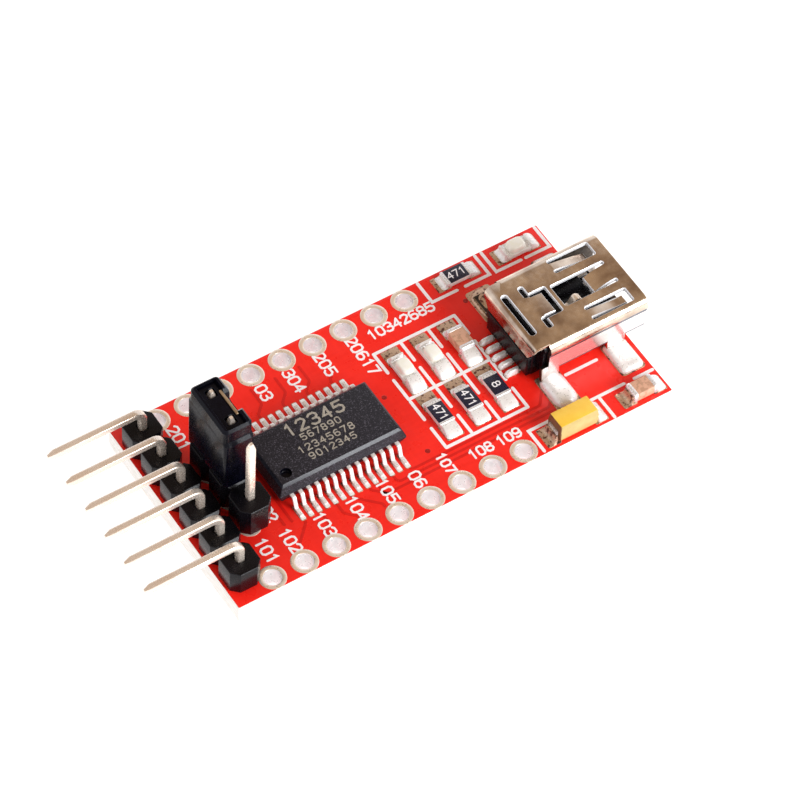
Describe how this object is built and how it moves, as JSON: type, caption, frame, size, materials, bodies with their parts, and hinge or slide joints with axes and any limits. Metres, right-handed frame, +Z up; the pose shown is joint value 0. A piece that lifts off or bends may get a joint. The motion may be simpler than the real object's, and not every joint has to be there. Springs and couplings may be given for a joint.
{
  "type": "usb to serial adapter board",
  "caption": "Small red circuit board with a mini-USB socket, a multi-lead chip, a right-angle pin header, signal lamps and a lift-off voltage jumper.",
  "frame": {"origin": "under the middle of the whole object's box, at the height of the lowest pin tips", "axes": "+X along the board towards the USB socket, +Y across the board towards the power lamp's edge, +Z up off the component side"},
  "size_m": [0.0426, 0.0172, 0.0123],
  "materials": {
    "red_board": "glossy red solder mask over glass-epoxy board",
    "black_plastic": "satin moulded black plastic",
    "copper_alloy": "rose-gold flash-plated square pins",
    "tinned_metal": "bright tin over copper alloy",
    "nickel_shell": "polished nickel sheet",
    "chip_epoxy": "fine-grained moulded epoxy",
    "lamp_lens": "clear to pale yellow lamp resin on a white base",
    "resistor_glaze": "black glaze on white ceramic with tinned ends",
    "tan_ceramic": "fired tan ceramic with tinned ends",
    "yellow_epoxy": "moulded yellow epoxy with a dark band at one end"
  },
  "bodies": {
    "board": {"pcb": "red_board", "header_block": "black_plastic", "header_pin_1": "copper_alloy", "header_pin_2": "copper_alloy", "header_pin_3": "copper_alloy", "header_pin_4": "copper_alloy", "header_pin_5": "copper_alloy", "header_pin_6": "copper_alloy", "jumper_block": "black_plastic", "jumper_pin_1": "copper_alloy", "jumper_pin_2": "copper_alloy", "jumper_pin_3": "copper_alloy", "usb_shell": "nickel_shell", "usb_insulator": "black_plastic", "usb_contact_1": "tinned_metal", "usb_contact_2": "tinned_metal", "usb_contact_3": "tinned_metal", "usb_contact_4": "tinned_metal", "usb_contact_5": "tinned_metal", "chip_body": "chip_epoxy", "chip_lead_01": "tinned_metal", "chip_lead_02": "tinned_metal", "chip_lead_03": "tinned_metal", "chip_lead_04": "tinned_metal", "chip_lead_05": "tinned_metal", "chip_lead_06": "tinned_metal", "chip_lead_07": "tinned_metal", "chip_lead_08": "tinned_metal", "chip_lead_09": "tinned_metal", "chip_lead_10": "tinned_metal", "chip_lead_11": "tinned_metal", "chip_lead_12": "tinned_metal", "chip_lead_13": "tinned_metal", "chip_lead_14": "tinned_metal", "chip_lead_15": "tinned_metal", "chip_lead_16": "tinned_metal", "chip_lead_17": "tinned_metal", "chip_lead_18": "tinned_metal", "chip_lead_19": "tinned_metal", "chip_lead_20": "tinned_metal", "chip_lead_21": "tinned_metal", "chip_lead_22": "tinned_metal", "chip_lead_23": "tinned_metal", "chip_lead_24": "tinned_metal", "chip_lead_25": "tinned_metal", "chip_lead_26": "tinned_metal", "chip_lead_27": "tinned_metal", "chip_lead_28": "tinned_metal", "led_power": "lamp_lens", "led_tx": "lamp_lens", "led_rx": "lamp_lens", "resistor_1": "resistor_glaze", "resistor_2": "resistor_glaze", "resistor_3": "resistor_glaze", "resistor_4": "resistor_glaze", "ceramic_capacitor_1": "tan_ceramic", "ceramic_capacitor_2": "tan_ceramic", "tantalum_capacitor": "yellow_epoxy"},
    "jumper": {"jumper_cap": "black_plastic", "jumper_contact": "tinned_metal"}
  },
  "joints": [
    {"name": "jumper_lift", "type": "slide", "parent": "board", "child": "jumper", "axis": [0, 0, 1], "range_m": [0, 0.008]}
  ]
}
